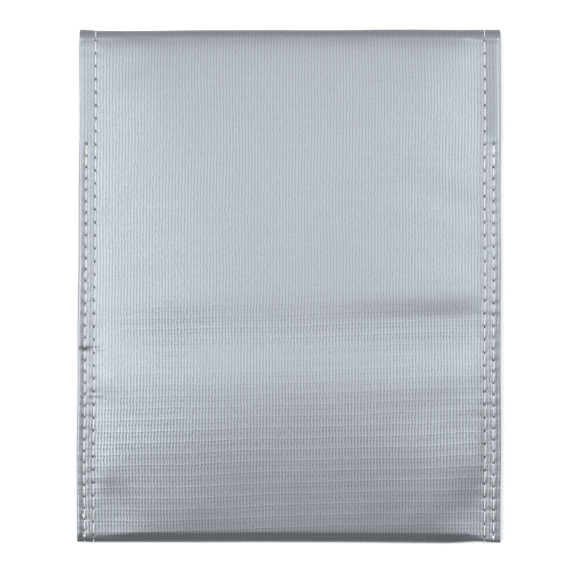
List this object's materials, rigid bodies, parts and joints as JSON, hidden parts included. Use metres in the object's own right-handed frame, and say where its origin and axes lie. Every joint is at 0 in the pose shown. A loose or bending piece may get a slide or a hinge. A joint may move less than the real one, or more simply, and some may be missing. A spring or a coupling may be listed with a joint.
{
  "type": "battery charging pouch",
  "caption": "Flat rectangular battery pouch sewn from one strip of heat-resistant coated cloth, with hemmed sides, an open-topped pocket and a fold-over flap with a hook-and-loop strip.",
  "frame": {"origin": "middle of the outline, at the plane the pouch rests on, the underside of its front", "axes": "+X across the pouch's width, +Y along its length towards the flap's fold, +Z out of its back, away from the table"},
  "size_m": [0.18, 0.216, 0.0126],
  "materials": {
    "coated_cloth": "silver-grey coated glass-fibre weave, satin",
    "sewing_thread": "white twisted thread",
    "hook_tape": "black woven tape with short hooks",
    "loop_tape": "black woven tape with soft loops"
  },
  "bodies": {
    "pouch": {"back_panel": "coated_cloth", "neck_panel": "coated_cloth", "front_panel": "coated_cloth", "bottom_fold": "coated_cloth", "top_fold": "coated_cloth", "back_hem_left": "coated_cloth", "back_hem_right": "coated_cloth", "front_hem_left": "coated_cloth", "front_hem_right": "coated_cloth", "neck_hem_left": "coated_cloth", "neck_hem_right": "coated_cloth", "mouth_hem": "coated_cloth", "loop_strip": "loop_tape", "side_seam_thread_left": "sewing_thread", "side_seam_thread_right": "sewing_thread", "side_seam_backtack_left": "sewing_thread", "side_seam_backtack_right": "sewing_thread", "hem_thread_left": "sewing_thread", "hem_thread_right": "sewing_thread", "mouth_hem_thread": "sewing_thread", "loop_strip_thread": "sewing_thread"},
    "flap": {"flap_panel": "coated_cloth", "flap_hem_left": "coated_cloth", "flap_hem_right": "coated_cloth", "flap_end_hem": "coated_cloth", "hook_strip": "hook_tape", "flap_hem_thread_left": "sewing_thread", "flap_hem_thread_right": "sewing_thread", "flap_end_thread": "sewing_thread", "hook_strip_thread": "sewing_thread"}
  },
  "joints": [
    {"name": "flap_fold", "type": "hinge", "parent": "pouch", "child": "flap", "pos_m": [0, 0.10522, 0.00278], "axis": [1, 0, 0], "range_deg": [0, 178], "deforming": ["top_fold"]}
  ]
}
